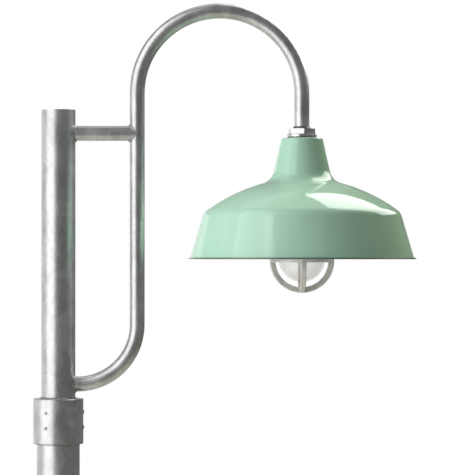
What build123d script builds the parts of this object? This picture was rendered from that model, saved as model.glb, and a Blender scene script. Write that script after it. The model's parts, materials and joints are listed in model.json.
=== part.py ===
"""Street lamp post: a galvanised gooseneck head with an enamelled shade, clamped on a straight steel pole.

Millimetres. The origin is on the ground, on the pole's axis; +Z is up and +X points from the pole
to the shade. Every node is one physical piece, or one group of identical pieces.
"""
from build123d import *
import os
from math import acos, atan2, cos, hypot, sin, sqrt

# ---- pole and base plate -------------------------------------------------------------------------
POLE_TOP = 2438.4          # height of the pole's open top above the ground
POLE_R = 76.2 / 2
POLE_WALL = 3.05
BASE_SIDE = 254.0
BASE_THICK = 19.05
BASE_CORNER_R = 14.0
BASE_EDGE = 1.5
ANCHOR_SPACING = 152.7     # between anchor holes, both ways
ANCHOR_HOLE_R = 12.7
CONDUIT_MARGIN = 8.1       # pole's outside to the wireway through the base plate
BASE_WELD_LEG = 8.0

# ---- hand hole, on the side away from the arm ----------------------------------------------------
HAND_Z = 460.0             # height of its centre
HAND_WIDE, HAND_HIGH = 50.0, 100.0
HAND_CORNER_R = 12.0
COVER_LAP = 15.0           # how far the cover reaches past the hole, up and down
COVER_SIDE_LAP = 5.0       # and sideways
COVER_THICK = 2.0
COVER_GASKET_T = 1.5
COVER_GAP = 0.3            # between the cover and its gasket
COVER_SCREW_R, COVER_HEAD_R, COVER_HEAD_T = 2.5, 4.6, 2.8
COVER_SCREW_REACH = 9.0    # screw length behind the cover
COVER_SCREW_AF, COVER_SOCKET = 3.0, 1.8
LUG_SIDE, LUG_DEEP = 16.0, 12.0
GROUND_SCREW_R, GROUND_HEAD_R, GROUND_HEAD_T = 2.5, 5.0, 3.0
GROUND_SCREW_SHORT = 2.0   # its tip to the pole's wall

# ---- slip collar that clamps the head on the pole ------------------------------------------------
COLLAR_GAP = 0.86          # between the pole and the collar's bore
COLLAR_WALL = 5.49
COLLAR_HIGH = 80.0
COLLAR_EDGE = 0.8
RING_THICK = 6.35          # plate that closes the collar's top
SEAT_GAP = 0.3             # between that plate and the pole's end
SET_SCREW_R = 1 / 4 * 25.4 / 2
SET_SCREW_LONG = 7.6
SET_SCREW_AF, SET_SCREW_SOCKET = 3.2, 3.5
SET_SCREW_ROWS = (24.0, 51.0)       # below the collar's top
SET_SCREW_ANGLES = (4, 124, 244)    # about Z, from +X
SET_SCREW_GAP = 0.3        # between a screw's tip and the pole

# ---- upright post --------------------------------------------------------------------------------
POST_R = 60.33 / 2
POST_WALL = 3.91
POST_HIGH = 513.2          # above the collar's top
CAP_THICK = 5.0

# ---- arm and brace: the same pipe ----------------------------------------------------------------
PIPE_R = 26.67 / 2
PIPE_WALL = 2.87
ARM_REACH = 433.4          # pole axis to shade axis
ARM_STANDOFF = 140.1       # pole axis to the arm's upright
FOOT_RISE = 25.6           # collar's top to the arm's lower end
FOOT_RUN = 3.9             # straight pipe between the post and the lower bend
BRACE_DROP = 41.6          # post's top down to the brace
GOOSENECK_RISE = 29.9      # post's top up to the centre of the gooseneck
GOOSENECK_DROP = 80.2      # that centre down to the shade's neck
BEAD = 3.0                 # leg of the weld beads on the post and pipes

# ---- hub hardware above the shade ----------------------------------------------------------------
NUT_AF, NUT_HIGH = 44.0, 9.4
NUT_TURN = 7.3             # one corner, from -Y towards +X
NUT_BEVEL = 1.0
BOSS_WALL, BOSS_TOP_WALL, BOSS_HIGH = 3.6, 1.3, 4.3
FLANGE_LEDGE, FLANGE_T = 0.8, 5.8    # how far the flange shows past the nut's corners
NECK_GASKET_IN, NECK_GASKET_T = 1.4, 1.5

# ---- shade; here and below, z is counted up from the underside of its rim ------------------------
SHADE_HIGH = 215.3
SHADE_THICK = 1.6
NECK_TOP_R = 36.8
NECK_SLOPE = 0.2233        # growth in radius per millimetre down the neck
NECK_EDGE_R = 2.5
NECK_FOOT_R = 28.0         # concave blend of neck into dome
DOME_R = 315.2             # section radius of the dome
DOME_X, DOME_Z = -14.5, -168.2
SKIRT_FOOT_R = 199.8       # the skirt's radius at z = 0
SKIRT_SLOPE = 0.293
SHOULDER_R = 22.0
RIM_LIP, RIM_THICK = 3.4, 2.4

# ---- globe holder, which the arm screws into -----------------------------------------------------
HUB_WALL, HUB_HIGH = 10.7, 16.0
HOLDER_WALL = 3.5
HOLDER_CLEAR = 4.4         # to the inside of the shade's neck
CROWN_DROP = 12.0          # height of the cone below the hub
HOLDER_BAND = 36.0         # height of its cylindrical part
HOLDER_LEDGE = 1.6         # how far its foot reaches past the globe's flange

# ---- lampholder ----------------------------------------------------------------------------------
PORCELAIN_DROP = 16.4      # hub's foot down to its top
PORCELAIN_WALL, PORCELAIN_HIGH, PORCELAIN_ROOF = 6.5, 38.0, 8.0
PORCELAIN_EDGE = 1.0
SHELL_WALL, SHELL_HIGH = 0.6, 24.0
CONTACT_R, CONTACT_T = 4.0, 1.2
STRAP_WIDE, STRAP_THICK = 12.0, 2.0
STRAP_BOSS_R, STRAP_BOSS_IN = 5.0, 2.0
STRAP_SCREW_LONG = 8.0     # behind the strap
PORCELAIN_SCREW_X, PORCELAIN_SCREW_Y = 9.5, 3.7
TERMINAL_IN = 5.5          # terminal and ground screws, in from the porcelain's edge
SMALL_SCREW_R = 1.7
SMALL_HEAD_R, SMALL_HEAD_T = 2.2, 1.6
TERMINAL_HEAD_R, TERMINAL_HEAD_T = 3.4, 2.0
SMALL_SCREW_LONG = 5.0

# ---- lamp ----------------------------------------------------------------------------------------
LAMP_LONG, LAMP_R = 107.3, 30.0
LAMP_BASE_R, LAMP_BASE_HIGH = 13.1, 25.0
LAMP_NECK_HIGH = 7.0       # straight glass below the base
LAMP_TIP_R, LAMP_TIP_HIGH = 4.5, 2.0
LAMP_GLASS = 0.8
LAMP_GAP = 0.3             # to the lampholder's contact and screw shell

# ---- globe and guard -----------------------------------------------------------------------------
GLOBE_R, GLOBE_WALL = 41.8, 3.0
GLOBE_CENTRE = 1.2         # z of the centre of its round end
GLOBE_FLANGE, GLOBE_FLANGE_T = 4.2, 4.0    # how far its flange reaches out, and its thickness
GLOBE_GASKET_T = 2.0
GLOBE_GASKET_IN = 2.0      # how far it reaches in past the holder's wall
GLOBE_GAP = 0.3            # above and below the globe's flange
GUARD_CLEAR = 5.5          # between the globe and the bars
GUARD_CENTRE = -2.5        # z of the centre of its round end
GUARD_TURN = 1.5           # about Z, of the bars from the arm's plane
BAR_DEEP, BAR_WIDE = 10.0, 10.2
BAR_RIDGE = 1.6            # chamfer of each bar's outer edges
HOOP_BELOW, HOOP_ABOVE = 3.0, 4.5    # about GUARD_CENTRE
HOOP_DEEP = 7.0
BAND_WALL = 6.1            # of the band on the holder
BAND_LAP = 12.0            # how far the band goes up the holder
BAND_GAP = 0.3
LIP_THICK = 4.0
GUARD_SCREW_R, GUARD_SCREW_HEAD_R, GUARD_SCREW_HEAD_T = 2.5, 4.5, 2.6
GUARD_SCREW_ANGLES = (45, 165, 285)

# ---- wiring --------------------------------------------------------------------------------------
WIRE_R = 1.3
WIRE_PLAY = 1.06           # between the outer wires and the grommet
WIRE_TURN_R = 14.0         # where they turn down inside the post
WIRE_TAIL_R = 5.0          # bends at the terminals
GROMMET_WALL, GROMMET_LIP = 1.5, 3.0
CONNECTOR_PLAY = 0.5       # between a connector and the next wire
CONNECTOR_TAPER = 1.4      # how much its closed end is smaller in radius
CONNECTOR_LONG, CONNECTOR_BORE = 26.0, 14.0
CONNECTOR_RISE, CONNECTOR_STEP = 100.0, 36.0    # above the hand hole's centre, and between them

FIT = 0.05                 # radial clearance of screws in plain holes
LOOSE = 0.3                # radial clearance of parts that are slipped on

# ---- places worked out from the above ------------------------------------------------------------
CONDUIT_R = POLE_R - CONDUIT_MARGIN
COLLAR_TOP = POLE_TOP + SEAT_GAP + RING_THICK
COLLAR_BORE = POLE_R + COLLAR_GAP
COLLAR_R = COLLAR_BORE + COLLAR_WALL
POST_TOP = COLLAR_TOP + POST_HIGH
POST_BORE = POST_R - POST_WALL
PIPE_BORE = PIPE_R - PIPE_WALL
FOOT_Z = COLLAR_TOP + FOOT_RISE
FOOT_BEND_R = ARM_STANDOFF - POST_R - FOOT_RUN
BRACE_Z = POST_TOP - BRACE_DROP
GOOSENECK_Z = POST_TOP + GOOSENECK_RISE
GOOSENECK_R = (ARM_REACH - ARM_STANDOFF) / 2
RIM_Z = GOOSENECK_Z - GOOSENECK_DROP - SHADE_HIGH
NUT_CORNER_R = NUT_AF / sqrt(3)
FLANGE_R = NUT_CORNER_R + FLANGE_LEDGE
FLANGE_Z = SHADE_HIGH + NECK_GASKET_T
NUT_Z = FLANGE_Z + FLANGE_T
HUB_R = PIPE_R + HUB_WALL
HOLDER_TOP = SHADE_HIGH - SHADE_THICK
HUB_FOOT = HOLDER_TOP - HUB_HIGH
CROWN_Z = HUB_FOOT - CROWN_DROP
NECK_INNER_R = NECK_TOP_R - SHADE_THICK * hypot(1, NECK_SLOPE)     # at the neck's top
CROWN_R = NECK_INNER_R + NECK_SLOPE * (SHADE_HIGH - CROWN_Z) - HOLDER_CLEAR
GLOBE_FLANGE_R = GLOBE_R + GLOBE_FLANGE
HOLDER_R = GLOBE_FLANGE_R + HOLDER_LEDGE
HOLDER_SHOULDER = SHADE_HIGH - (HOLDER_R + HOLDER_CLEAR - NECK_INNER_R) / NECK_SLOPE
HOLDER_FOOT = HOLDER_SHOULDER - HOLDER_BAND
SHELL_R = LAMP_BASE_R + LAMP_GAP + SHELL_WALL
PORCELAIN_R = SHELL_R + PORCELAIN_WALL
PORCELAIN_TOP = HUB_FOOT - PORCELAIN_DROP
STRAP_TOP = PORCELAIN_TOP + STRAP_THICK
STRAP_BOSS_OUT = CROWN_R - HOLDER_WALL - STRAP_BOSS_R - STRAP_BOSS_IN
TERMINAL_OUT = PORCELAIN_R - TERMINAL_IN
SHELL_TOP = PORCELAIN_TOP - PORCELAIN_ROOF - CONTACT_T
LAMP_TOP = SHELL_TOP - LAMP_GAP
GLOBE_TOP = HOLDER_FOOT - GLOBE_GASKET_T - GLOBE_GAP
LIP_TOP = GLOBE_TOP - GLOBE_FLANGE_T - GLOBE_GAP
GUARD_R = GLOBE_R + GUARD_CLEAR + BAR_DEEP
BAND_TOP = HOLDER_FOOT + BAND_LAP
BAND_BORE = HOLDER_R + BAND_GAP
BAND_R = BAND_BORE + BAND_WALL
COVER_BORE = POLE_R + COVER_GASKET_T + COVER_GAP
COVER_FACE = COVER_BORE + COVER_THICK
COVER_SCREW_Z = (HAND_HIGH + COVER_LAP) / 2
WIRE_SPREAD = PIPE_BORE - GROMMET_WALL - WIRE_R - WIRE_PLAY     # between neighbours, along Y
CONNECTOR_R = WIRE_SPREAD - WIRE_R - CONNECTOR_PLAY
CONNECTOR_Z = HAND_Z + CONNECTOR_RISE


# ---- shapes used more than once ------------------------------------------------------------------
def turned(*outline):
    """A closed outline of (radius, z) points, turned about Z."""
    return revolve(Plane.XZ * Polygon(*outline), Axis.Z)


def tube(outer, inner, low, high):
    return turned((inner, low), (outer, low), (outer, high), (inner, high))


def rod(radius, low, high):
    return Pos(0, 0, low) * Cylinder(radius, high - low, align=(Align.CENTER, Align.CENTER, Align.MIN))


def rod_x(radius, start, end):
    """A round bar along X."""
    return Rot(0, 90, 0) * rod(radius, start, end)


def hexagon(across_flats, low, high, turn=0.0):
    outline = RegularPolygon(across_flats / 2, 6, major_radius=False, rotation=turn)
    return Pos(0, 0, low) * extrude(outline, high - low)


def joined(solids):
    """Separate solids as one shape."""
    return Part() + list(solids)


def at_shade(shape):
    """Carries a shape from the shade's frame, whose origin is under its rim, to the post's."""
    return Pos(ARM_REACH, 0, RIM_Z) * shape


def upright_plane(y, across=(1, 0, 0), normal=(0, -1, 0), x=0):
    """The vertical plane through (x, y) whose drawing runs across and up."""
    return Plane((x, y, 0), x_dir=across, z_dir=normal)


def screw_down(radius, length, head_radius, head_high):
    """A slotted pan-head screw along -Z whose head rests on z = 0."""
    slot = Pos(0, 0, head_high) * Box(2 * head_radius, head_radius / 3, head_high)
    return rod(radius, -length, 0) + rod(head_radius, 0, head_high) - slot


# ---- pole ----------------------------------------------------------------------------------------
def base_plate():
    plate = extrude(RectangleRounded(BASE_SIDE, BASE_SIDE, BASE_CORNER_R), BASE_THICK)
    plate = chamfer(plate.faces().sort_by(Axis.Z)[-1].edges(), BASE_EDGE)
    plate -= rod(CONDUIT_R, 0, BASE_THICK)
    for place in GridLocations(ANCHOR_SPACING, ANCHOR_SPACING, 2, 2):
        plate -= place * rod(ANCHOR_HOLE_R, 0, BASE_THICK)
    return plate


def base_weld():
    return turned((POLE_R, BASE_THICK), (POLE_R + BASE_WELD_LEG, BASE_THICK),
                  (POLE_R, BASE_THICK + BASE_WELD_LEG))


def hand_hole_bar(lap, side_lap, corner_r):
    """A bar through the pole's -X wall with the hand hole's outline, grown by the two laps."""
    outline = RectangleRounded(HAND_HIGH + 2 * lap, HAND_WIDE + 2 * side_lap, corner_r)
    return Pos(-2 * POLE_R, 0, HAND_Z) * Rot(0, 90, 0) * extrude(outline, 2 * POLE_R)


def cover_places():
    return [Pos(0, 0, HAND_Z + side * COVER_SCREW_Z) for side in (1, -1)]


def cover_holes(radius):
    return joined(place * rod_x(radius, -2 * POLE_R, 0) for place in cover_places())


def pole_tube():
    pole = tube(POLE_R, POLE_R - POLE_WALL, BASE_THICK, POLE_TOP)
    return pole - hand_hole_bar(0, 0, HAND_CORNER_R) - cover_holes(COVER_SCREW_R + LOOSE)


def hand_hole_gasket():
    skin = tube(POLE_R + COVER_GASKET_T, POLE_R, 0, POLE_TOP)
    frame = skin & hand_hole_bar(COVER_LAP, COVER_SIDE_LAP, HAND_CORNER_R)
    return frame - hand_hole_bar(0, 0, HAND_CORNER_R) - cover_holes(COVER_SCREW_R + LOOSE)


def hand_hole_cover():
    skin = tube(COVER_FACE, COVER_BORE, 0, POLE_TOP)
    return skin & hand_hole_bar(COVER_LAP, COVER_SIDE_LAP, HAND_CORNER_R) - cover_holes(COVER_SCREW_R)


def hand_hole_screws():
    top = COVER_FACE + COVER_HEAD_T
    screw = rod_x(COVER_SCREW_R, COVER_SOCKET - top, COVER_SCREW_REACH - COVER_BORE)
    head = rod_x(COVER_HEAD_R, -top, -COVER_BORE)
    head -= rod(COVER_FACE, -COVER_HEAD_R, COVER_HEAD_R)
    socket = Rot(0, -90, 0) * hexagon(COVER_SCREW_AF, top - COVER_SOCKET, top)
    return joined(place * (screw + head - socket) for place in cover_places())


def ground_lug():
    wall = POLE_R - POLE_WALL
    align = (Align.MIN, Align.CENTER, Align.CENTER)
    block = Pos(wall - LUG_DEEP, 0, HAND_Z) * Box(2 * LUG_DEEP, LUG_SIDE, LUG_SIDE, align=align)
    hole = Pos(0, 0, HAND_Z) * rod_x(GROUND_SCREW_R, 0, POLE_R)
    return (block & rod(wall, 0, POLE_TOP)) - hole


def pole_ground_screw():
    screw = screw_down(GROUND_SCREW_R, LUG_DEEP - GROUND_SCREW_SHORT, GROUND_HEAD_R, GROUND_HEAD_T)
    return Pos(POLE_R - POLE_WALL - LUG_DEEP, 0, HAND_Z) * Rot(0, -90, 0) * screw


# ---- collar and post -----------------------------------------------------------------------------
def set_screw_places():
    return [Pos(0, 0, COLLAR_TOP - drop) * Rot(0, 0, angle)
            for drop in SET_SCREW_ROWS for angle in SET_SCREW_ANGLES]


def collar_sleeve():
    sleeve = tube(COLLAR_R, COLLAR_BORE, COLLAR_TOP - COLLAR_HIGH, COLLAR_TOP)
    sleeve = chamfer(sleeve.edges().filter_by(GeomType.CIRCLE).sort_by(SortBy.RADIUS)[-2:], COLLAR_EDGE)
    for place in set_screw_places():
        sleeve -= place * rod_x(SET_SCREW_R, 0, 2 * COLLAR_R)
    return sleeve


def collar_ring():
    return tube(COLLAR_BORE, POST_R, COLLAR_TOP - RING_THICK, COLLAR_TOP)


def collar_weld():
    return turned((POST_R, COLLAR_TOP), (POST_R + BEAD, COLLAR_TOP), (POST_R, COLLAR_TOP + BEAD))


def set_screws():
    tip = POLE_R + SET_SCREW_GAP
    end = tip + SET_SCREW_LONG
    screw = rod_x(SET_SCREW_R, tip, end)
    screw = chamfer(screw.edges().filter_by(GeomType.CIRCLE), SET_SCREW_R / 6)
    screw -= Rot(0, 90, 0) * hexagon(SET_SCREW_AF, end - SET_SCREW_SOCKET, end)
    return joined(place * screw for place in set_screw_places())


def wireway(radius):
    """A round bar through the post's wall at the arm's lower end."""
    return Pos(0, 0, FOOT_Z) * rod_x(radius, 0, POST_R + PIPE_R)


def post_tube():
    return tube(POST_R, POST_BORE, COLLAR_TOP - RING_THICK, POST_TOP) - wireway(PIPE_BORE)


def post_cap():
    return rod(POST_BORE, POST_TOP - CAP_THICK, POST_TOP)


# ---- arm, brace and their welds ------------------------------------------------------------------
def arm_line(y, start):
    """Centre line of the arm in the plane at y, down to the end of its thread in the globe holder."""
    bend_x = ARM_STANDOFF - FOOT_BEND_R
    end_z = RIM_Z + HUB_FOOT
    line = Line((start, FOOT_Z), (bend_x, FOOT_Z))
    line += CenterArc((bend_x, FOOT_Z + FOOT_BEND_R), FOOT_BEND_R, 270, 90)
    line += Line((ARM_STANDOFF, FOOT_Z + FOOT_BEND_R), (ARM_STANDOFF, GOOSENECK_Z))
    line += CenterArc((ARM_STANDOFF + GOOSENECK_R, GOOSENECK_Z), GOOSENECK_R, 180, -180)
    line += Line((ARM_REACH, GOOSENECK_Z), (ARM_REACH, end_z))
    return upright_plane(y) * line


def swept(line, start, direction, *radii):
    """A round bar, or a pipe when a bore radius is given too, along a line of straights and arcs."""
    section = Circle(radii[0]) if len(radii) == 1 else Circle(radii[0]) - Circle(radii[1])
    return sweep(Plane(start, z_dir=direction) * section, path=line)


def arm_pipe():
    start = POST_R / 2
    pipe = swept(arm_line(0, start), (start, 0, FOOT_Z), (1, 0, 0), PIPE_R, PIPE_BORE)
    return pipe - rod(POST_R, COLLAR_TOP, POST_TOP)


def brace_pipe():
    pipe = Pos(0, 0, BRACE_Z) * (rod_x(PIPE_R, 0, ARM_STANDOFF) - rod_x(PIPE_BORE, 0, ARM_STANDOFF))
    arm = Pos(ARM_STANDOFF, 0, 0) * rod(PIPE_R, COLLAR_TOP, POST_TOP)
    return pipe - rod(POST_R, COLLAR_TOP, POST_TOP) - arm


def crease_bead(upright_r, upright_x, height, end):
    """The bead in the crease between an upright tube and a pipe along X that runs from 0 to end."""
    upright = Pos(upright_x, 0, height) * rod(upright_r, -2 * PIPE_R, 2 * PIPE_R)
    grown = Pos(upright_x, 0, height) * rod(upright_r + BEAD, -2 * PIPE_R, 2 * PIPE_R)
    pipe = Pos(0, 0, height) * rod_x(PIPE_R, 0, 2 * ARM_STANDOFF)
    reach = Pos(0, 0, height) * rod_x(PIPE_R + BEAD, end[0], end[1])
    return (reach & grown) - upright - pipe


def foot_weld():
    return crease_bead(POST_R, 0, FOOT_Z, (0, ARM_STANDOFF))


def brace_post_weld():
    return crease_bead(POST_R, 0, BRACE_Z, (0, ARM_STANDOFF))


def brace_arm_weld():
    return crease_bead(PIPE_R, ARM_STANDOFF, BRACE_Z, (0, ARM_STANDOFF))


def wire_grommet():
    neck = wireway(PIPE_BORE) & tube(POST_R, POST_BORE, COLLAR_TOP, POST_TOP)
    lip = wireway(PIPE_BORE + GROMMET_LIP) & tube(POST_BORE, POST_BORE - GROMMET_LIP, COLLAR_TOP, POST_TOP)
    return neck + lip - wireway(PIPE_BORE - GROMMET_WALL)


# ---- hub hardware --------------------------------------------------------------------------------
def hex_nut():
    top = NUT_Z + NUT_HIGH
    flat = NUT_CORNER_R - NUT_BEVEL
    low_edge, top_edge = NUT_Z + NUT_BEVEL / 2, top - NUT_BEVEL / 2
    bevelled = turned((0, NUT_Z), (flat, NUT_Z), (NUT_CORNER_R, low_edge), (NUT_CORNER_R, top_edge),
                      (flat, top), (0, top))
    boss = turned((0, top), (PIPE_R + BOSS_WALL, top), (PIPE_R + BOSS_TOP_WALL, top + BOSS_HIGH),
                  (0, top + BOSS_HIGH))
    nut = (hexagon(NUT_AF, NUT_Z, top, NUT_TURN - 90) & bevelled) + boss
    return at_shade(nut - rod(PIPE_R, NUT_Z, top + BOSS_HIGH))


def hub_flange():
    flange = tube(FLANGE_R, PIPE_R + LOOSE, FLANGE_Z, NUT_Z)
    rims = flange.edges().filter_by(GeomType.CIRCLE).sort_by(SortBy.RADIUS)[-2:]
    return at_shade(chamfer(rims, FLANGE_T / 7))


def neck_gasket():
    return at_shade(tube(FLANGE_R - NECK_GASKET_IN, PIPE_R + LOOSE, SHADE_HIGH, FLANGE_Z))


# ---- shade ---------------------------------------------------------------------------------------
def skirt_radius(z):
    return SKIRT_FOOT_R - SKIRT_SLOPE * z


def shade_bell(inset):
    """The solid bell inside the shade's outer face, with that face taken in by inset."""
    top = SHADE_HIGH - inset
    floor = -SHADE_THICK if inset else 0
    skirt_in = inset * hypot(1, SKIRT_SLOPE)
    neck_in = inset * hypot(1, NECK_SLOPE)
    neck_wide = NECK_TOP_R + NECK_SLOPE * (SHADE_HIGH - floor) - neck_in
    dome = Pos(DOME_X, DOME_Z) * Circle(DOME_R - inset)
    skirt = Polygon((0, floor), (skirt_radius(floor) - skirt_in, floor),
                    (skirt_radius(SHADE_HIGH) - skirt_in, SHADE_HIGH), (0, SHADE_HIGH))
    neck = Polygon((0, floor), (neck_wide, floor), (NECK_TOP_R + NECK_SLOPE * inset - neck_in, top), (0, top))
    shoulder = (dome & skirt).vertices().sort_by(Axis.X)[-2:].sort_by(Axis.Y)[-1]
    section = fillet(shoulder, SHOULDER_R - inset) + neck
    neck_foot = section.vertices().group_by(Axis.Y)[-2].sort_by(Axis.X)[-1]
    section = fillet(neck_foot, NECK_FOOT_R + inset)
    neck_edge = section.vertices().group_by(Axis.Y)[-1].sort_by(Axis.X)[-1]
    section = fillet(neck_edge, NECK_EDGE_R - inset)
    return revolve(Plane.XZ * section, Axis.Z)


def shade():
    shell = shade_bell(0) - shade_bell(SHADE_THICK)
    rim = tube(SKIRT_FOOT_R + RIM_LIP, skirt_radius(0) - SHADE_THICK * hypot(1, SKIRT_SLOPE), 0, RIM_THICK)
    edges = rim.edges().filter_by(GeomType.CIRCLE).sort_by(SortBy.RADIUS)[-2:]
    rim = fillet(edges, RIM_THICK / 3)
    return at_shade(shell + rim - rod(PIPE_R + LOOSE, HUB_FOOT, SHADE_HIGH))


# ---- globe holder --------------------------------------------------------------------------------
def holder_outline(inset):
    """Outline of the holder's outer face below its hub, taken in by inset."""
    return turned((0, HOLDER_FOOT), (HOLDER_R - inset, HOLDER_FOOT), (HOLDER_R - inset, HOLDER_SHOULDER),
                  (CROWN_R - inset, CROWN_Z), (HUB_R - inset, HUB_FOOT), (0, HUB_FOOT))


def strap_places():
    return [Pos(side * STRAP_BOSS_OUT, 0, 0) for side in (1, -1)]


def globe_holder():
    body = holder_outline(0)
    holder = body - holder_outline(HOLDER_WALL) + rod(HUB_R, HUB_FOOT, HOLDER_TOP)
    for place in strap_places():
        holder += (place * rod(STRAP_BOSS_R, STRAP_TOP, HUB_FOOT)) & body
        holder -= place * rod(SMALL_SCREW_R, STRAP_TOP, PORCELAIN_TOP + STRAP_SCREW_LONG + STRAP_THICK)
    return at_shade(holder - rod(PIPE_R, CROWN_Z, HOLDER_TOP))


def globe_gasket():
    inner = HOLDER_R - HOLDER_WALL - GLOBE_GASKET_IN
    return at_shade(tube(GLOBE_FLANGE_R, inner, HOLDER_FOOT - GLOBE_GASKET_T, HOLDER_FOOT))


# ---- lampholder ----------------------------------------------------------------------------------
def porcelain_places():
    return [Rot(0, 0, turn) * Pos(PORCELAIN_SCREW_X, -PORCELAIN_SCREW_Y, 0) for turn in (0, 180)]


def terminal_places():
    return [Pos(0, side * TERMINAL_OUT, 0) for side in (1, -1)]


def lampholder_body():
    foot = PORCELAIN_TOP - PORCELAIN_HIGH
    body = rod(PORCELAIN_R, foot, PORCELAIN_TOP)
    body = chamfer(body.edges().filter_by(GeomType.CIRCLE), PORCELAIN_EDGE)
    body -= rod(SHELL_R, foot, PORCELAIN_TOP - PORCELAIN_ROOF)
    for place in porcelain_places() + terminal_places():
        body -= place * rod(SMALL_SCREW_R, PORCELAIN_TOP - SMALL_SCREW_LONG, PORCELAIN_TOP)
    return at_shade(body)


def screw_shell():
    return at_shade(tube(SHELL_R, SHELL_R - SHELL_WALL, SHELL_TOP - SHELL_HIGH, SHELL_TOP))


def centre_contact():
    return at_shade(rod(CONTACT_R, SHELL_TOP, SHELL_TOP + CONTACT_T))


def lampholder_strap():
    ends = 2 * (STRAP_BOSS_OUT + STRAP_BOSS_R)
    strap = Pos(0, 0, PORCELAIN_TOP) * extrude(SlotOverall(ends, STRAP_WIDE), STRAP_THICK)
    for place in porcelain_places() + strap_places():
        strap -= place * rod(SMALL_SCREW_R + FIT, PORCELAIN_TOP, STRAP_TOP)
    return at_shade(strap - Pos(TERMINAL_OUT, 0, 0) * rod(SMALL_SCREW_R, PORCELAIN_TOP, STRAP_TOP))


def strap_screws():
    screw = screw_down(SMALL_SCREW_R, STRAP_THICK + STRAP_SCREW_LONG, TERMINAL_HEAD_R, TERMINAL_HEAD_T)
    screw = Pos(0, 0, PORCELAIN_TOP) * Rot(180, 0, 0) * screw
    return at_shade(joined(place * screw for place in strap_places()))


def porcelain_screws():
    screw = screw_down(SMALL_SCREW_R, STRAP_THICK + SMALL_SCREW_LONG, SMALL_HEAD_R, SMALL_HEAD_T)
    return at_shade(joined(place * Pos(0, 0, STRAP_TOP) * screw for place in porcelain_places()))


def wire_screw(floor, reach):
    """A screw that clamps a wire lying on floor, reaching that far below it."""
    screw = screw_down(SMALL_SCREW_R, 2 * WIRE_R + FIT + reach, TERMINAL_HEAD_R, TERMINAL_HEAD_T)
    return Pos(0, 0, floor + 2 * WIRE_R + FIT) * screw


def terminal_screws():
    screw = wire_screw(PORCELAIN_TOP, SMALL_SCREW_LONG)
    return at_shade(joined(place * screw for place in terminal_places()))


def strap_ground_screw():
    return at_shade(Pos(TERMINAL_OUT, 0, 0) * wire_screw(STRAP_TOP, STRAP_THICK))


# ---- lamp ----------------------------------------------------------------------------------------
def lamp_outline(inset):
    """The bulb's turned outline, taken in by inset: a ball, a tangent cone and a straight neck."""
    base_foot = LAMP_TOP - LAMP_TIP_HIGH - LAMP_BASE_HIGH
    centre = LAMP_TOP - LAMP_LONG + LAMP_R
    neck_z = base_foot - LAMP_NECK_HIGH
    rise = neck_z - centre
    tangent = atan2(rise, LAMP_BASE_R) - acos(LAMP_R / hypot(rise, LAMP_BASE_R))
    radius = LAMP_R - inset
    ball = Pos(0, 0, centre) * Sphere(radius)
    touch = (radius * cos(tangent), centre + radius * sin(tangent))
    neck = turned((0, centre), (radius * cos(tangent) / 2, centre), touch, (LAMP_BASE_R - inset, neck_z),
                  (LAMP_BASE_R - inset, base_foot), (0, base_foot))
    return ball + neck


def lamp_bulb():
    return at_shade(lamp_outline(0) - lamp_outline(LAMP_GLASS))


def lamp_base():
    top = LAMP_TOP - LAMP_TIP_HIGH
    return at_shade(rod(LAMP_BASE_R, top - LAMP_BASE_HIGH, top))


def lamp_tip():
    return at_shade(rod(LAMP_TIP_R, LAMP_TOP - LAMP_TIP_HIGH, LAMP_TOP))


# ---- globe and guard -----------------------------------------------------------------------------
def globe():
    outside = Pos(0, 0, GLOBE_CENTRE) * Sphere(GLOBE_R) + rod(GLOBE_R, GLOBE_CENTRE, GLOBE_TOP)
    inside = Pos(0, 0, GLOBE_CENTRE) * Sphere(GLOBE_R - GLOBE_WALL)
    inside += rod(GLOBE_R - GLOBE_WALL, GLOBE_CENTRE, GLOBE_TOP)
    flange = rod(GLOBE_FLANGE_R, GLOBE_TOP - GLOBE_FLANGE_T, GLOBE_TOP)
    return at_shade(outside + flange - inside)


def guard_bar():
    """Half a hoop through the guard's foot: two opposite bars, ridged along their outer edges."""
    outer = Pos(0, 0, GUARD_CENTRE) * Rot(90, 0, 0) * Cylinder(GUARD_R, BAR_WIDE)
    outer = chamfer(outer.edges().filter_by(GeomType.CIRCLE), BAR_RIDGE)
    inner = Pos(0, 0, GUARD_CENTRE) * Rot(90, 0, 0) * Cylinder(GUARD_R - BAR_DEEP, 2 * BAR_WIDE)
    bowl = (outer - inner) & Pos(0, 0, GUARD_CENTRE - GUARD_R) * Box(
        2 * GUARD_R, BAR_WIDE, GUARD_R, align=(Align.CENTER, Align.CENTER, Align.MIN))
    upright = Box(BAR_DEEP, BAR_WIDE, LIP_TOP - GUARD_CENTRE, align=(Align.MAX, Align.CENTER, Align.MIN))
    upright = chamfer(upright.faces().sort_by(Axis.X)[-1].edges().filter_by(Axis.Z), BAR_RIDGE)
    upright = Pos(GUARD_R, 0, GUARD_CENTRE) * upright
    return bowl + upright + Rot(0, 0, 180) * upright


def guard():
    bars = guard_bar()
    body = Rot(0, 0, GUARD_TURN) * (bars + Rot(0, 0, 90) * bars)
    hoop = tube(GUARD_R - (BAR_DEEP - HOOP_DEEP) / 2, GUARD_R - (BAR_DEEP + HOOP_DEEP) / 2,
                GUARD_CENTRE - HOOP_BELOW, GUARD_CENTRE + HOOP_ABOVE)
    band = tube(BAND_R, BAND_BORE, LIP_TOP - LIP_THICK, BAND_TOP)
    lip = tube(BAND_R, GLOBE_R + LOOSE, LIP_TOP - LIP_THICK, LIP_TOP)
    body = body + hoop + band + lip
    for angle in GUARD_SCREW_ANGLES:
        body -= Pos(0, 0, BAND_TOP - BAND_LAP / 2) * Rot(0, 0, angle) * rod_x(GUARD_SCREW_R, 0, 2 * BAND_R)
    return at_shade(body)


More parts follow.
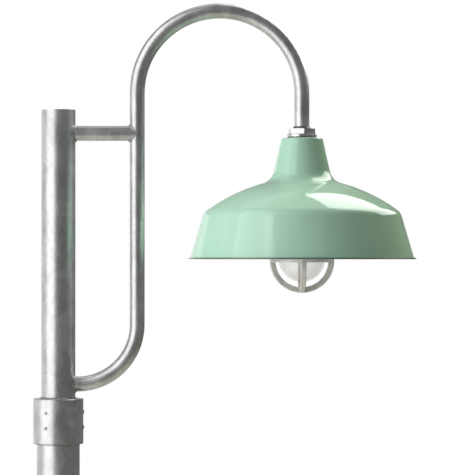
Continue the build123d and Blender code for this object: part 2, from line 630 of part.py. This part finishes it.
def guard_screws():
    reach = BAND_R - HOLDER_R - BAND_GAP
    screw = screw_down(GUARD_SCREW_R, reach, GUARD_SCREW_HEAD_R, GUARD_SCREW_HEAD_T)
    screw = Pos(BAND_R, 0, BAND_TOP - BAND_LAP / 2) * Rot(0, 90, 0) * screw
    return at_shade(joined(Rot(0, 0, angle) * screw for angle in GUARD_SCREW_ANGLES))


# ---- wiring --------------------------------------------------------------------------------------
def connector_z(side):
    return CONNECTOR_Z + (side + 1) * CONNECTOR_STEP


def fixture_wire(side):
    """One wire: from its connector up the pole, through the arm and round to its screw.

    side is 1 or -1 for the two that go to the terminals, and 0 for the ground between them.
    """
    y = side * WIRE_SPREAD
    low = connector_z(side) + CONNECTOR_LONG - CONNECTOR_BORE
    turn_z = FOOT_Z - WIRE_TURN_R
    riser = Line((0, low), (0, turn_z)) + CenterArc((WIRE_TURN_R, turn_z), WIRE_TURN_R, 180, -90)
    tail_z = RIM_Z + WIRE_R + FIT / 2 + (PORCELAIN_TOP if side else STRAP_TOP)
    bend_z = tail_z + WIRE_TAIL_R
    run = TERMINAL_OUT - SMALL_SCREW_R - abs(y)
    tail = Line((0, RIM_Z + HUB_FOOT), (0, bend_z)) + CenterArc((WIRE_TAIL_R, bend_z), WIRE_TAIL_R, 180, 90)
    tail += Line((WIRE_TAIL_R, tail_z), (run, tail_z))
    across, normal = ((0, side, 0), (side, 0, 0)) if side else ((1, 0, 0), (0, -1, 0))
    line = upright_plane(y) * riser + arm_line(y, WIRE_TURN_R)
    line += upright_plane(y, across, normal, ARM_REACH) * tail
    return swept(line, (0, y, low), (0, 0, 1), WIRE_R)


def wire_line():
    return fixture_wire(1)


def wire_neutral():
    return fixture_wire(-1)


def wire_ground():
    return fixture_wire(0)


def wire_connectors():
    tip = CONNECTOR_R - CONNECTOR_TAPER
    cap = turned((0, 0), (tip, 0), (CONNECTOR_R, CONNECTOR_LONG), (0, CONNECTOR_LONG))
    cap -= rod(WIRE_R, CONNECTOR_LONG - CONNECTOR_BORE, CONNECTOR_LONG)
    return joined(Pos(0, side * WIRE_SPREAD, connector_z(side)) * cap for side in (-1, 0, 1))


NODES = (base_plate, base_weld, pole_tube, ground_lug, pole_ground_screw,
         hand_hole_gasket, hand_hole_cover, hand_hole_screws,
         collar_sleeve, collar_ring, collar_weld, set_screws, post_tube, post_cap,
         arm_pipe, brace_pipe, foot_weld, brace_post_weld, brace_arm_weld, wire_grommet,
         hex_nut, hub_flange, neck_gasket, shade, globe_holder, globe_gasket,
         lampholder_body, screw_shell, centre_contact, lampholder_strap,
         strap_screws, porcelain_screws, terminal_screws, strap_ground_screw,
         lamp_bulb, lamp_base, lamp_tip, globe, guard, guard_screws,
         wire_line, wire_neutral, wire_ground, wire_connectors)

os.makedirs("parts", exist_ok=True)
for build in NODES:
    export_step(build(), f"parts/{build.__name__}.step")
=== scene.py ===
"""Looks of the street lamp post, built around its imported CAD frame. Metres, in the frame of the part."""
import json
import math

import bpy
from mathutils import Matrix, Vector


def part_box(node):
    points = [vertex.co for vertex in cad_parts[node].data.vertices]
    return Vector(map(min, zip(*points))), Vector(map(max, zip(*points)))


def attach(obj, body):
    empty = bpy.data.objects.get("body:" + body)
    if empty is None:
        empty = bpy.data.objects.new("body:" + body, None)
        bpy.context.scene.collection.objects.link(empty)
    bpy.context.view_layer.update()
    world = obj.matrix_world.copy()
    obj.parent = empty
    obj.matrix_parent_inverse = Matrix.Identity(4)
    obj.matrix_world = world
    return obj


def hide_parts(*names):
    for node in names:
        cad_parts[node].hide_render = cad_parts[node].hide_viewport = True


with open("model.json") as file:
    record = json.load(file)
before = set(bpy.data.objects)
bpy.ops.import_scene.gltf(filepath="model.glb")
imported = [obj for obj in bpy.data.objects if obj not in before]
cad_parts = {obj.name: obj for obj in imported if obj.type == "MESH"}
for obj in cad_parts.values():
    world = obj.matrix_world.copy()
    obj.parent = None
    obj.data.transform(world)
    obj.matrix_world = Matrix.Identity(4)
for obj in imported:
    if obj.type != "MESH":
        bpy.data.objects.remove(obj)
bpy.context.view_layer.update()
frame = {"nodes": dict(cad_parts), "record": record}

# ---- places read from the frame ------------------------------------------------------------------
SHADE_LOW, SHADE_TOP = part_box("shade")
SHADE_X = (SHADE_LOW.x + SHADE_TOP.x) / 2
SHADE_CENTRE = Vector((SHADE_X, 0, (SHADE_LOW.z + SHADE_TOP.z) / 2))
COLLAR_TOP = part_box("collar_sleeve")[1].z
COLLAR_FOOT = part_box("collar_sleeve")[0].z
POST_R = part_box("post_tube")[1].y
POLE_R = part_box("pole_tube")[1].y
PIPE_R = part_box("brace_pipe")[1].y
BRACE_Z = sum(corner.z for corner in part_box("brace_pipe")) / 2
FOOT_Z = sum(corner.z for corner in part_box("foot_weld")) / 2


# ---- node helpers --------------------------------------------------------------------------------
class Surface:
    """A Principled material whose sockets are fed by object-space procedural textures."""

    def __init__(self, name, **sockets):
        self.material = bpy.data.materials.new(name)
        self.material.use_nodes = True
        self.tree = self.material.node_tree
        self.bsdf = self.tree.nodes["Principled BSDF"]
        self.place = self.node("ShaderNodeTexCoord")
        for socket, value in sockets.items():
            self.bsdf.inputs[socket.replace("_", " ")].default_value = value

    def node(self, kind, inputs=(), **settings):
        made = self.tree.nodes.new(kind)
        for name, value in settings.items():
            setattr(made, name, value)
        for key, value in dict(inputs).items():
            if isinstance(value, bpy.types.NodeSocket):
                self.tree.links.new(value, made.inputs[key])
            else:
                made.inputs[key].default_value = value
        return made

    def points(self, stretch=(1, 1, 1)):
        """Object-space coordinates, stretched along each axis."""
        mapping = self.node("ShaderNodeMapping",
                            {"Vector": self.place.outputs["Object"], "Scale": stretch})
        return mapping.outputs["Vector"]

    def height(self):
        """Height above the ground."""
        return self.node("ShaderNodeSeparateXYZ", {0: self.place.outputs["Object"]}).outputs["Z"]

    def from_shade_axis(self):
        """Object-space coordinates with the shade's axis at X = 0."""
        return self.node("ShaderNodeVectorMath", {0: self.place.outputs["Object"], 1: (SHADE_X, 0, 0)},
                         operation="SUBTRACT").outputs[0]

    def noise(self, scale, detail=3.0, rough=0.55, stretch=(1, 1, 1), distortion=0.0):
        made = self.node("ShaderNodeTexNoise",
                         {"Vector": self.points(stretch), "Scale": scale, "Detail": detail,
                          "Roughness": rough, "Distortion": distortion})
        return made.outputs["Fac"]

    def cells(self, scale, output="Color"):
        made = self.node("ShaderNodeTexVoronoi", {"Vector": self.points(), "Scale": scale})
        return made.outputs[output]

    def grey(self, colour):
        return self.node("ShaderNodeRGBToBW", {"Color": colour}).outputs["Val"]

    def spread(self, value, low, high, out_low=0.0, out_high=1.0):
        """Maps low..high to out_low..out_high, clamped and smoothed."""
        made = self.node("ShaderNodeMapRange", {"Value": value, "From Min": low, "From Max": high,
                                                "To Min": out_low, "To Max": out_high},
                         interpolation_type="SMOOTHSTEP")
        return made.outputs["Result"]

    def math(self, operation, first, second=0.0):
        return self.node("ShaderNodeMath", {0: first, 1: second}, operation=operation).outputs[0]

    def mix(self, factor, first, second):
        """Mixes two colours, given as sockets or RGB triples."""
        made = self.node("ShaderNodeMix", data_type="RGBA")
        for key, value in ((0, factor), (6, first), (7, second)):
            if isinstance(value, bpy.types.NodeSocket):
                self.tree.links.new(value, made.inputs[key])
            else:
                made.inputs[key].default_value = value if key == 0 else (*value, 1.0)
        return made.outputs[2]

    def bump(self, height, strength, distance):
        """Adds a bump over whatever bump is already on the shader."""
        made = self.node("ShaderNodeBump",
                         {"Height": height, "Strength": strength, "Distance": distance})
        normal = self.bsdf.inputs["Normal"]
        if normal.links:
            self.tree.links.new(normal.links[0].from_socket, made.inputs["Normal"])
        self.tree.links.new(made.outputs["Normal"], normal)

    def feed(self, **sockets):
        for socket, value in sockets.items():
            self.tree.links.new(value, self.bsdf.inputs[socket.replace("_", " ")])


# ---- materials -----------------------------------------------------------------------------------
# painted shade: colour of a thin dark line painted where the collar's foot meets the pole
CREASE_SHADE = (0.09, 0.09, 0.088)
BLOTCH = 34.0           # noise scale of the blotches in the zinc
FLUTES = 36             # round the globe


def galvanised(name, dark, light, rough_low, rough_high):
    """Hot-dip zinc: soft blotches, faint spangle, a fine grain, and a thin painted shade line where the
    collar ends.
    """
    s = Surface(name, Metallic=1.0)
    clouds = s.noise(BLOTCH, detail=4.0, rough=0.6, stretch=(1, 1, 0.55), distortion=0.6)
    fine = s.noise(BLOTCH * 7, detail=3.0, rough=0.6)
    spangle = s.grey(s.cells(150.0))
    tone = s.math("ADD", s.math("MULTIPLY", clouds, 0.74), s.math("MULTIPLY", fine, 0.16))
    tone = s.math("ADD", tone, s.math("MULTIPLY", spangle, 0.10))
    tone = s.spread(tone, 0.36, 0.64)
    from_foot = s.math("ABSOLUTE", s.math("SUBTRACT", s.height(), COLLAR_FOOT))
    # painted shade: a thin dark band painted round the collar's foot
    crease_shade = s.spread(from_foot, 0.0008, 0.0026, 0.5, 0.0)
    wear = s.math("ADD", clouds, s.math("MULTIPLY", fine, 0.5))
    s.feed(Base_Color=s.mix(crease_shade, s.mix(tone, dark, light), CREASE_SHADE),
           Roughness=s.spread(wear, 0.55, 0.95, rough_low, rough_high))
    s.bump(s.noise(BLOTCH * 0.8, detail=1.0, stretch=(1, 1, 0.4)), 0.03, 0.0016)
    s.bump(s.noise(900.0, detail=2.0), 0.02, 0.0002)
    return s.material


def weld_metal(name):
    """Galvanised weld bead: duller and rougher than the pipe, with small pits."""
    s = Surface(name, Metallic=1.0)
    clouds = s.noise(160.0, detail=4.0)
    s.feed(Base_Color=s.mix(s.spread(clouds, 0.35, 0.65), (0.30, 0.305, 0.305), (0.46, 0.465, 0.46)),
           Roughness=s.spread(clouds, 0.3, 0.7, 0.50, 0.64))
    s.bump(s.noise(900.0, detail=3.0), 0.15, 0.0003)
    return s.material


def turned_metal(name, dark, light, rough_low, rough_high, metallic=1.0, bevel_dulling_and_shade=0.0):
    """Plated or plain machined metal: fine turning lines, handling marks, and bevels made rougher and
    darkened as painted shade.
    """
    s = Surface(name, Metallic=metallic)
    lines = s.noise(260.0, detail=2.0, stretch=(1, 1, 9))
    marks = s.noise(70.0, detail=4.0)
    normal = s.node("ShaderNodeSeparateXYZ", {0: s.place.outputs["Normal"]})
    tilt = s.math("ABSOLUTE", normal.outputs["Z"])
    # painted shade: faces that lean part way upwards, as bevels do, get a darker colour as well as more
    # roughness
    dull_shaded_bevel = s.math("MULTIPLY", s.spread(tilt, 0.25, 0.45), s.spread(tilt, 0.85, 0.97, bevel_dulling_and_shade, 0.0))
    plated = s.mix(s.spread(marks, 0.35, 0.68), dark, light)
    shine = s.spread(s.math("ADD", lines, marks), 0.75, 1.25, rough_low, rough_high)
    s.feed(Base_Color=s.mix(dull_shaded_bevel, plated, [0.25 * value for value in dark]),
           Roughness=s.math("ADD", shine, s.math("MULTIPLY", dull_shaded_bevel, 0.3)))
    s.bump(lines, 0.03, 0.0001)
    return s.material


def enamel(name):
    """Gloss vitreous enamel: jade green outside, white inside, very dark green over the lowest two to
    three millimetres of the rim.
    """
    s = Surface(name, IOR=1.52)
    flat = s.node("ShaderNodeVectorMath", {0: s.from_shade_axis(), 1: (1, 1, 0)}, operation="MULTIPLY")
    outward = s.node("ShaderNodeVectorMath", {0: flat.outputs[0]}, operation="NORMALIZE")
    leaning = s.node("ShaderNodeVectorMath", {0: outward.outputs[0], 1: (0, 0, 0.6)}, operation="ADD")
    facing = s.node("ShaderNodeVectorMath", {0: leaning.outputs[0], 1: s.place.outputs["Normal"]},
                    operation="DOT_PRODUCT")
    outside = s.math("GREATER_THAN", facing.outputs["Value"], 0.0)
    rim = s.spread(s.height(), SHADE_LOW.z + 0.0020, SHADE_LOW.z + 0.0034, 1.0, 0.0)
    clouds = s.noise(9.0, detail=3.0)
    peel = s.noise(240.0, detail=2.0)
    specks = s.spread(s.cells(310.0, "Distance"), 0.02, 0.10, 1.0, 0.0)
    green = s.mix(s.spread(clouds, 0.35, 0.65), (0.400, 0.655, 0.505), (0.425, 0.680, 0.530))
    green = s.mix(s.math("MULTIPLY", specks, 0.12), green, (0.22, 0.40, 0.30))
    green = s.mix(s.math("MULTIPLY", rim, 0.92), green, (0.05, 0.09, 0.07))
    white = s.mix(s.spread(clouds, 0.3, 0.7), (0.83, 0.84, 0.81), (0.88, 0.88, 0.86))
    s.feed(Base_Color=s.mix(outside, white, green), Roughness=s.spread(clouds, 0.3, 0.7, 0.035, 0.07))
    s.bump(peel, 0.035, 0.0004)
    s.bump(s.noise(22.0, detail=1.0), 0.05, 0.0015)
    return s.material


def cast_aluminium(name):
    """Sand-cast aluminium: pebbled and matt."""
    s = Surface(name, Metallic=0.6)
    clouds = s.noise(60.0, detail=4.0)
    sand = s.noise(1100.0, detail=3.0, rough=0.7)
    tone = s.math("ADD", s.math("MULTIPLY", clouds, 0.6), s.math("MULTIPLY", sand, 0.4))
    s.feed(Base_Color=s.mix(s.spread(tone, 0.38, 0.62), (0.62, 0.615, 0.60), (0.80, 0.795, 0.78)),
           Roughness=s.spread(clouds, 0.3, 0.7, 0.46, 0.60))
    s.bump(sand, 0.12, 0.0003)
    return s.material


def frosted_glass(name):
    """Pressed jar glass, frosted, with soft flutes down its sides."""
    s = Surface(name, Base_Color=(0.98, 0.98, 0.965, 1.0), IOR=1.45, Transmission_Weight=0.6, Alpha=0.24)
    place = s.node("ShaderNodeSeparateXYZ", {0: s.from_shade_axis()})
    turn = s.math("ARCTAN2", place.outputs["Y"], place.outputs["X"])
    flutes = s.math("SINE", s.math("MULTIPLY", turn, float(FLUTES)))
    frost = s.noise(420.0, detail=3.0)
    s.feed(Roughness=s.spread(frost, 0.3, 0.7, 0.28, 0.38))
    s.bump(flutes, 0.15, 0.0005)
    s.bump(frost, 0.02, 0.0002)
    return s.material


def lamp_glass(name):
    """Thin opal glass, faintly uneven."""
    s = Surface(name, Base_Color=(0.95, 0.945, 0.93, 1.0), IOR=1.45, Transmission_Weight=0.3, Alpha=0.45)
    s.feed(Roughness=s.spread(s.noise(300.0), 0.3, 0.7, 0.22, 0.34))
    s.bump(s.noise(60.0), 0.04, 0.0006)
    return s.material


def glazed(name, dark, light, rough=0.12, pits=0.10):
    """Glazed ceramic, or rubber and plastic where it is rougher: mottled, with faint pits."""
    s = Surface(name, IOR=1.5)
    clouds = s.noise(85.0, detail=4.0)
    fine = s.noise(700.0, detail=2.0)
    s.feed(Base_Color=s.mix(s.spread(clouds, 0.35, 0.65), dark, light),
           Roughness=s.spread(fine, 0.3, 0.7, rough * 0.8, rough * 1.3))
    s.bump(fine, pits, 0.0003)
    return s.material


MATERIALS = {
    "galvanised_pipe": galvanised("galvanised_pipe", (0.48, 0.487, 0.492), (0.66, 0.667, 0.67),
                                  0.33, 0.40),
    "weld": weld_metal("weld"),
    # the zinc hardware's part-upward bevels are painted darker as shade
    "zinc_hardware": turned_metal("zinc_hardware", (0.56, 0.565, 0.565), (0.72, 0.725, 0.72), 0.24, 0.34,
                                  bevel_dulling_and_shade=0.9),
    "enamel": enamel("enamel"),
    "cast_aluminium": cast_aluminium("cast_aluminium"),
    "frosted_glass": frosted_glass("frosted_glass"),
    "lamp_glass": lamp_glass("lamp_glass"),
    "porcelain": glazed("porcelain", (0.78, 0.765, 0.72), (0.88, 0.875, 0.85)),
    "brass": turned_metal("brass", (0.56, 0.41, 0.17), (0.76, 0.60, 0.31), 0.20, 0.36),
    "green_screw": turned_metal("green_screw", (0.10, 0.30, 0.13), (0.18, 0.44, 0.21), 0.26, 0.40,
                                metallic=0.7),
    "gasket_rubber": glazed("gasket_rubber", (0.022, 0.022, 0.023), (0.045, 0.045, 0.046), 0.62, 0.35),
    "black_wire": glazed("black_wire", (0.018, 0.018, 0.018), (0.035, 0.035, 0.036), 0.34),
    "white_wire": glazed("white_wire", (0.74, 0.74, 0.71), (0.84, 0.84, 0.82), 0.34),
    "green_wire": glazed("green_wire", (0.04, 0.26, 0.08), (0.08, 0.38, 0.13), 0.34),
    "connector_plastic": glazed("connector_plastic", (0.66, 0.22, 0.03), (0.80, 0.32, 0.06), 0.38),
}


def dress(piece, slot):
    piece.data.materials.clear()
    piece.data.materials.append(MATERIALS[slot])


for row in frame["record"]["subparts"]:
    dress(frame["nodes"][row["node"]], row["material_slot"])


# ---- meshes --------------------------------------------------------------------------------------
def new_piece(name, points, faces, body, slot, replaced):
    """A smooth mesh that rides on that body and stands in for the replaced CAD node."""
    mesh = bpy.data.meshes.new(name)
    mesh.from_pydata([tuple(p) for p in points], [], faces)
    mesh.shade_smooth()
    piece = bpy.data.objects.new(name, mesh)
    bpy.context.scene.collection.objects.link(piece)
    dress(piece, slot)
    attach(piece, body)
    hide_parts(replaced)


def grid_faces(rows, around, closed=False):
    """Quads between rows of points that go round; closed joins the last row to the first."""
    faces = []
    for i in range(rows if closed else rows - 1):
        j = (i + 1) % rows
        for k in range(around):
            m = (k + 1) % around
            faces.append((i * around + k, i * around + m, j * around + m, j * around + k))
    return faces


def end_caps(rows, around):
    """The two faces that close the first and last rows."""
    return [tuple(reversed(range(around))), tuple((rows - 1) * around + k for k in range(around))]


BEAD_STEPS = 8          # points across a bead
RIPPLE_STATIONS = 6     # rows of points to each ripple
RIPPLE = 0.10           # how much a ripple swells the bead
WANDER = 0.03           # slower change in the bead's size
ROOT = 0.1              # how far the bead reaches into the corner, in legs
RING_SWELL = 0.80       # how far a bead's crown stands out, in legs
SADDLE_SWELL = 0.78
SADDLE_LONG = 1.1       # length of a saddle bead, in turns round its pipe
SADDLE_THIN = 1.4       # below 1 / this, a narrowing crease thins its bead


def bead_section(corner, first, second, leg, swell):
    """A convex fillet between two surfaces that meet at corner; first and second run out along them."""
    out = (first + second).normalized()
    a, b = corner + first * leg, corner + second * leg
    crown = corner + out * leg * swell
    front = []
    for step in range(BEAD_STEPS + 1):
        t = step / BEAD_STEPS
        control = 2 * crown - (a + b) / 2
        front.append(a * (1 - t) ** 2 + control * 2 * t * (1 - t) + b * t ** 2)
    return front + [corner - out * leg * ROOT]


def ripple(place, pitch):
    """A stacked-coin swell along a bead: it rises steadily and drops back at each step."""
    phase = (place / pitch) % 1.0
    wander = WANDER * math.sin(place / pitch * 1.7)
    return 1.0 - RIPPLE + RIPPLE * math.sin(math.pi * phase) ** 0.6 + wander


def bead_piece(name, rows, body):
    """A closed bead made of those sections, in place of the CAD node of that name."""
    points = [point for row in rows for point in row]
    faces = grid_faces(len(rows), len(rows[0]), closed=True)
    new_piece(name + "_bead", points, faces, body, "weld", name)


def ring_bead(name, body, radius, height, leg, pitch):
    """A bead round a tube of that radius standing on a plate at that height."""
    stations = round(2 * math.pi * radius / pitch) * RIPPLE_STATIONS
    rows = []
    for i in range(stations):
        angle = 2 * math.pi * i / stations
        outward = Vector((math.cos(angle), math.sin(angle), 0))
        size = leg * ripple(i / RIPPLE_STATIONS * pitch, pitch)
        corner = outward * radius + Vector((0, 0, height))
        rows.append(bead_section(corner, outward, Vector((0, 0, 1)), size, RING_SWELL))
    bead_piece(name, rows, body)


def saddle_bead(name, upright_x, upright_r, height, side, leg, pitch):
    """A bead in the crease where a horizontal pipe meets an upright tube, on its +1 or -1 side."""
    stations = round(2 * math.pi * PIPE_R * SADDLE_LONG / pitch) * RIPPLE_STATIONS
    rows = []
    for i in range(stations):
        angle = 2 * math.pi * i / stations
        y, rise = PIPE_R * math.cos(angle), PIPE_R * math.sin(angle)
        depth = math.sqrt(max(upright_r ** 2 - y ** 2, 0.0))
        corner = Vector((upright_x + side * depth, y, height + rise))
        pipe_normal = Vector((0, math.cos(angle), math.sin(angle)))
        tube_normal = Vector((side * depth, y, 0)).normalized()
        on_pipe = Vector((side, 0, 0))
        on_tube = pipe_normal - tube_normal * pipe_normal.dot(tube_normal)
        opening = max(on_tube.length, 0.05)
        on_tube.normalize()
        size = leg * min(1.0, opening * SADDLE_THIN) * ripple(i / RIPPLE_STATIONS * pitch, pitch)
        rows.append(bead_section(corner, on_tube, on_pipe, size, SADDLE_SWELL))
    bead_piece(name, rows, "head")


BASE_LEG, BASE_PITCH = 0.0080, 0.0045      # of the bead on the base plate
LEG, PITCH = 0.0030, 0.0024                # of the others
ring_bead("base_weld", "pole", POLE_R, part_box("base_weld")[0].z, BASE_LEG, BASE_PITCH)
ring_bead("collar_weld", "head", POST_R, COLLAR_TOP, LEG, PITCH)
saddle_bead("foot_weld", 0.0, POST_R, FOOT_Z, 1, LEG, PITCH)
saddle_bead("brace_post_weld", 0.0, POST_R, BRACE_Z, 1, LEG, PITCH)
saddle_bead("brace_arm_weld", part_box("brace_arm_weld")[1].x, PIPE_R, BRACE_Z, -1, LEG, PITCH)

THREAD_PITCH, THREAD_DEPTH, THREAD_TURNS = 0.00363, 0.0006, 5.2
THREAD_ROWS = 12        # rows of points to each turn
THREAD_START = 0.0015   # plain sleeve below the thread
THREAD_END = 0.0010     # and above it
THREAD_INSET = 0.0001   # inside the CAD base's radius
THREAD_AROUND = 72      # points round the lamp's base


def lamp_thread():
    """The lamp's screw base: a rolled thread on a sleeve, closed by a black glass cone at its top."""
    low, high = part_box("lamp_base")
    radius = (high.y - low.y) / 2
    threaded = THREAD_TURNS * THREAD_PITCH
    count = int(THREAD_TURNS * THREAD_ROWS)
    stations = [(low.z, 0.0)]
    for i in range(count + 1):
        stations.append((low.z + THREAD_START + threaded * i / count, 1.0))
    end = low.z + THREAD_START + threaded
    stations.append((end + THREAD_END, 0.0))
    points = []
    for z, thread in stations:
        for k in range(THREAD_AROUND):
            angle = 2 * math.pi * k / THREAD_AROUND
            wave = 0.5 - 0.5 * math.cos(2 * math.pi * ((z - low.z) / THREAD_PITCH - k / THREAD_AROUND))
            r = radius - THREAD_INSET - THREAD_DEPTH * thread * wave
            points.append((SHADE_X + r * math.cos(angle), r * math.sin(angle), z))
    rows = len(stations)
    faces = grid_faces(rows, THREAD_AROUND) + end_caps(rows, THREAD_AROUND)
    new_piece("lamp_base_thread", points, faces, "lamp", "brass", "lamp_base")

    cone = []
    profile = ((radius - 0.0006, end + THREAD_END), (radius - 0.0030, end + 0.0030),
               (0.0062, high.z - 0.0004), (0.0046, high.z))
    for r, z in profile:
        for k in range(THREAD_AROUND):
            angle = 2 * math.pi * k / THREAD_AROUND
            cone.append((SHADE_X + r * math.cos(angle), r * math.sin(angle), z))
    faces = grid_faces(len(profile), THREAD_AROUND) + end_caps(len(profile), THREAD_AROUND)
    new_piece("lamp_base_insulator", cone, faces, "lamp", "gasket_rubber", "lamp_base")


lamp_thread()


# ---- floor, background and lights ----------------------------------------------------------------
FLOOR_R, FLOOR_RINGS, FLOOR_AROUND = 9.0, 24, 96
FLOOR_FADE = (1.2, 4.2)    # metres from the pole, over which the floor turns into the white behind it
FLOOR_DROP = 0.0005        # below the base plate's underside


def floor():
    """A plain pale disc that fades to the background's white, so that no edge shows."""
    points, faces = [(0, 0, 0)], []
    for i in range(1, FLOOR_RINGS + 1):
        r = FLOOR_R * i / FLOOR_RINGS
        for k in range(FLOOR_AROUND):
            angle = 2 * math.pi * k / FLOOR_AROUND
            points.append((r * math.cos(angle), r * math.sin(angle), 0))
    for k in range(FLOOR_AROUND):
        faces.append((0, 1 + k, 1 + (k + 1) % FLOOR_AROUND))
    for i in range(FLOOR_RINGS - 1):
        for k in range(FLOOR_AROUND):
            a, b = 1 + i * FLOOR_AROUND + k, 1 + i * FLOOR_AROUND + (k + 1) % FLOOR_AROUND
            faces.append((a, a + FLOOR_AROUND, b + FLOOR_AROUND, b))
    mesh = bpy.data.meshes.new("floor")
    mesh.from_pydata(points, [], faces)
    made = bpy.data.objects.new("floor", mesh)
    made.location.z = -FLOOR_DROP
    bpy.context.scene.collection.objects.link(made)
    s = Surface("floor", Specular_IOR_Level=0.2)
    clouds = s.noise(1.2, detail=3.0)
    s.feed(Base_Color=s.mix(s.spread(clouds, 0.3, 0.7), (0.70, 0.69, 0.655), (0.74, 0.73, 0.695)),
           Roughness=s.spread(clouds, 0.3, 0.7, 0.6, 0.75))
    reach = s.node("ShaderNodeVectorMath", {0: s.place.outputs["Object"]}, operation="LENGTH")
    seen = s.node("ShaderNodeLightPath").outputs["Is Camera Ray"]
    fade = s.math("MULTIPLY", s.spread(reach.outputs["Value"], *FLOOR_FADE), seen)
    white = s.node("ShaderNodeEmission")
    blend = s.node("ShaderNodeMixShader", {0: fade, 1: s.bsdf.outputs[0], 2: white.outputs[0]})
    s.tree.links.new(blend.outputs[0], s.tree.nodes["Material Output"].inputs["Surface"])
    mesh.materials.append(s.material)


def heading(azimuth, elevation):
    """Unit vector; azimuth 0 is towards the camera's side (-Y), 90 towards +X."""
    a, e = math.radians(azimuth), math.radians(elevation)
    return Vector((math.sin(a) * math.cos(e), -math.cos(a) * math.cos(e), math.sin(e)))


def softbox(name, around, azimuth, elevation, distance, wide, high, radiance,
            roll=0.0, lights=True, mirrors=True):
    """A rectangular soft light that faces a point. It can skip what it lights, or what mirrors it."""
    light = bpy.data.lights.new(name, "AREA")
    light.shape = "RECTANGLE"
    light.size, light.size_y = wide, high
    light.color = [value / max(radiance) for value in radiance]
    light.energy = max(radiance) * math.pi * wide * high
    made = bpy.data.objects.new(name, light)
    direction = heading(azimuth, elevation)
    made.location = around + direction * distance
    made.rotation_euler = direction.to_track_quat("Z", "Y").to_euler()
    made.rotation_euler.rotate_axis("Z", math.radians(roll))
    made.visible_camera = False
    made.visible_diffuse = lights
    made.visible_glossy = mirrors
    bpy.context.scene.collection.objects.link(made)


# what each kind of ray sees; the first also stands for every other kind
ROOM = {"Is Diffuse Ray": (0.03, 0.03, 0.03), "Is Glossy Ray": (0.18, 0.18, 0.18),
        "Is Transmission Ray": (1.0, 1.0, 1.0), "Is Camera Ray": (1.0, 1.0, 1.0)}


def background():
    """White behind the object and through its glass; a dim room for its light and its mirrors."""
    world = bpy.data.worlds.new("studio")
    world.use_nodes = True
    tree = world.node_tree
    tree.nodes.clear()
    path = tree.nodes.new("ShaderNodeLightPath")
    shown = None
    for ray, colour in ROOM.items():
        room = tree.nodes.new("ShaderNodeBackground")
        room.name = ray
        room.inputs["Color"].default_value = (*colour, 1.0)
        if shown is None:
            shown = room.outputs[0]
            continue
        mix = tree.nodes.new("ShaderNodeMixShader")
        tree.links.new(path.outputs[ray], mix.inputs[0])
        tree.links.new(shown, mix.inputs[1])
        tree.links.new(room.outputs[0], mix.inputs[2])
        shown = mix.outputs[0]
    out = tree.nodes.new("ShaderNodeOutputWorld")
    tree.links.new(shown, out.inputs["Surface"])
    bpy.context.scene.world = world


MIDDLE = Vector((0.2, 0, 2.65))                   # of the head
REAR = (SHADE_CENTRE, 133, 43, 4.0, 2.9, 3.7)     # place and size of the light behind the shade
floor()
background()
# name, point faced, azimuth and elevation in degrees, distance, width, height, radiance
softbox("key", MIDDLE, -52, 0.5, 4.0, 4.3, 5.3, (1.68, 1.68, 1.68))
softbox("key_high", MIDDLE, -60, 48, 4.0, 3.4, 2.2, (1.6, 1.6, 1.6), lights=False)
softbox("key_soft", MIDDLE, -52, 10, 4.0, 4.4, 5.3, (0.9, 0.9, 0.9), mirrors=False)
softbox("side", MIDDLE, -90, 2.0, 4.4, 2.2, 6.4, (0.62, 0.62, 0.62))
softbox("rear_low", MIDDLE, -143, -8, 4.4, 7.2, 3.6, (0.75, 0.75, 0.75))
softbox("rear_high", MIDDLE, -150, 35, 4.4, 7.2, 4.0, (0.15, 0.15, 0.15))
softbox("rear_box", *REAR, (4.6, 4.6, 4.45), roll=-13, lights=False)
softbox("rear_glow", *REAR, (6.3, 6.1, 4.7), roll=-13, mirrors=False)
softbox("top_edge", MIDDLE, 180, 70, 4.0, 3.4, 2.8, (0.55, 0.55, 0.56), lights=False)
softbox("overhead", SHADE_CENTRE, -60, 85, 3.5, 3.0, 3.0, (0.8, 0.8, 0.8), mirrors=False)
softbox("left_high", SHADE_CENTRE, -80, 50, 3.5, 2.4, 2.4, (2.1, 2.1, 2.1), mirrors=False)

# ---- camera --------------------------------------------------------------------------------------
CAMERA_PLACE = Vector((0.3187, -4.272, 2.695))
CAMERA_AIM = Vector((0.3187, 0, 2.7313))
camera_data = bpy.data.cameras.new("camera")
camera_data.lens, camera_data.sensor_width = 181.9, 36.0
camera_data.clip_end = 100.0
camera = bpy.data.objects.new("camera", camera_data)
camera.location = CAMERA_PLACE
camera.rotation_euler = (CAMERA_AIM - CAMERA_PLACE).to_track_quat("-Z", "Y").to_euler()
bpy.context.scene.collection.objects.link(camera)
bpy.context.scene.camera = camera
bpy.context.scene.view_settings.view_transform = "Standard"
bpy.context.scene.view_settings.look = "None"
